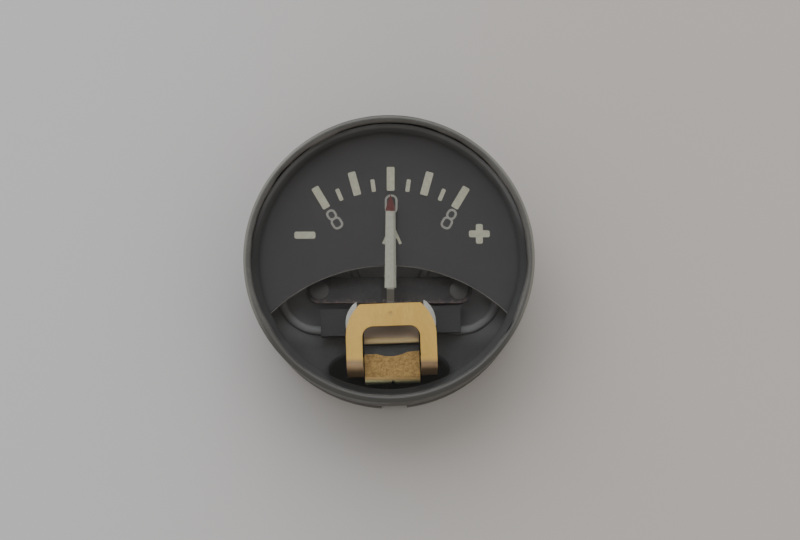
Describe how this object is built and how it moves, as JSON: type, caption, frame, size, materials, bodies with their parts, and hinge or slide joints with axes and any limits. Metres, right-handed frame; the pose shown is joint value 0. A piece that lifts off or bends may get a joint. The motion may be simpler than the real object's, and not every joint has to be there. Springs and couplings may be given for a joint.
{
  "type": "analog panel meter",
  "caption": "Round centre-zero panel ammeter with a rolled metal rim, black dial, sprung pointer and a brass bridge seen below the dial.",
  "frame": {"origin": "middle of the case on the plane of its rear edge", "axes": "+Z out of the face towards the reader, +Y towards twelve o'clock, +X towards three o'clock"},
  "size_m": [0.0518, 0.0518, 0.019],
  "materials": {
    "case_plate": "dull nickel plate, rim worn bright",
    "glass": "clear flat glass",
    "black_enamel": "semi-matt black enamel",
    "dial_enamel": "matt black enamel, greyed",
    "mark_paint": "cream scale paint",
    "base_moulding": "dark moulded phenolic",
    "black_fibre": "deep black insulating fibre",
    "dark_copper": "tarnished copper",
    "terminal_brass": "turned brass",
    "spring_steel": "plain steel",
    "blackened_steel": "blackened steel",
    "bearing_brass": "plain brass",
    "pole_nickel": "nickel-plated steel",
    "inner_brass": "polished brass strip",
    "magnet_steel": "slate-dark magnet steel",
    "rough_brass": "rough, mottled brass",
    "bridge_brass": "satin pale brass",
    "pointer_paint": "off-white paint, dark red tip"
  },
  "bodies": {
    "meter": {"case_shell": "case_plate", "lens": "glass", "spacer_ring": "black_enamel", "dial_plate": "dial_enamel", "scale_marks": "mark_paint", "base_cup": "base_moulding", "insulating_pad": "black_fibre", "conductor_strap": "dark_copper", "stud_left": "terminal_brass", "stud_right": "terminal_brass", "flat_washers": "terminal_brass", "clamp_nuts": "terminal_brass", "spring_washers": "spring_steel", "terminal_nuts": "terminal_brass", "movement_bar": "blackened_steel", "rear_bearing": "bearing_brass", "pole_cheek_left": "pole_nickel", "pole_cheek_right": "pole_nickel", "field_strap": "inner_brass", "control_magnet": "magnet_steel", "contact_plate": "rough_brass", "front_bridge": "bridge_brass", "bar_rivets": "bearing_brass", "bridge_rivets": "bearing_brass"},
    "needle": {"spindle": "spring_steel", "hub": "bearing_brass", "moving_vane": "magnet_steel", "pointer": "pointer_paint"}
  },
  "joints": [
    {"name": "needle_swing", "type": "hinge", "parent": "meter", "child": "needle", "pos_m": [0.00025, -0.00995, 0.014], "axis": [0, 0, 1], "range_deg": [-34, 34], "stiffness_Nm_per_rad": 0.00002}
  ]
}
